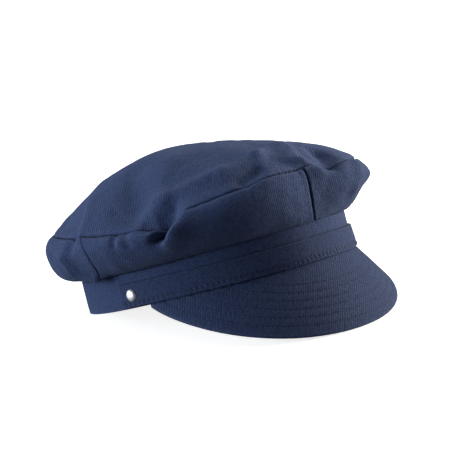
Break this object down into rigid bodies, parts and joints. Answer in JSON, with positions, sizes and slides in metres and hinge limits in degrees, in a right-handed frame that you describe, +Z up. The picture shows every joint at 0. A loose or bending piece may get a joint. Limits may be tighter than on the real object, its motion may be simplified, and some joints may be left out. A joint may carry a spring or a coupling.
{
  "type": "sailor hat",
  "caption": "Soft full-crowned peaked cap in navy cotton twill, with an upright band, a front strap, a stitched down-turned peak and domed rivets.",
  "frame": {"origin": "centre of the box round the hat, on the surface that it stands on", "axes": "+Z up, -Y the way the peak points, -X the wearer's right"},
  "size_m": [0.212, 0.2574, 0.1146],
  "materials": {
    "crown_twill": "matt cotton twill",
    "band_twill": "matt cotton twill, doubled and pressed",
    "peak_twill": "matt cotton twill over a stiff board",
    "rivet_metal": "satin nickel"
  },
  "bodies": {
    "root": {"headband": "band_twill", "strap": "band_twill", "peak": "peak_twill", "crown_top": "crown_twill", "crown_side_front_right": "crown_twill", "crown_side_back_right": "crown_twill", "crown_side_back_left": "crown_twill", "crown_side_front_left": "crown_twill", "rivet_right": "rivet_metal", "rivet_left": "rivet_metal"}
  },
  "joints": []
}
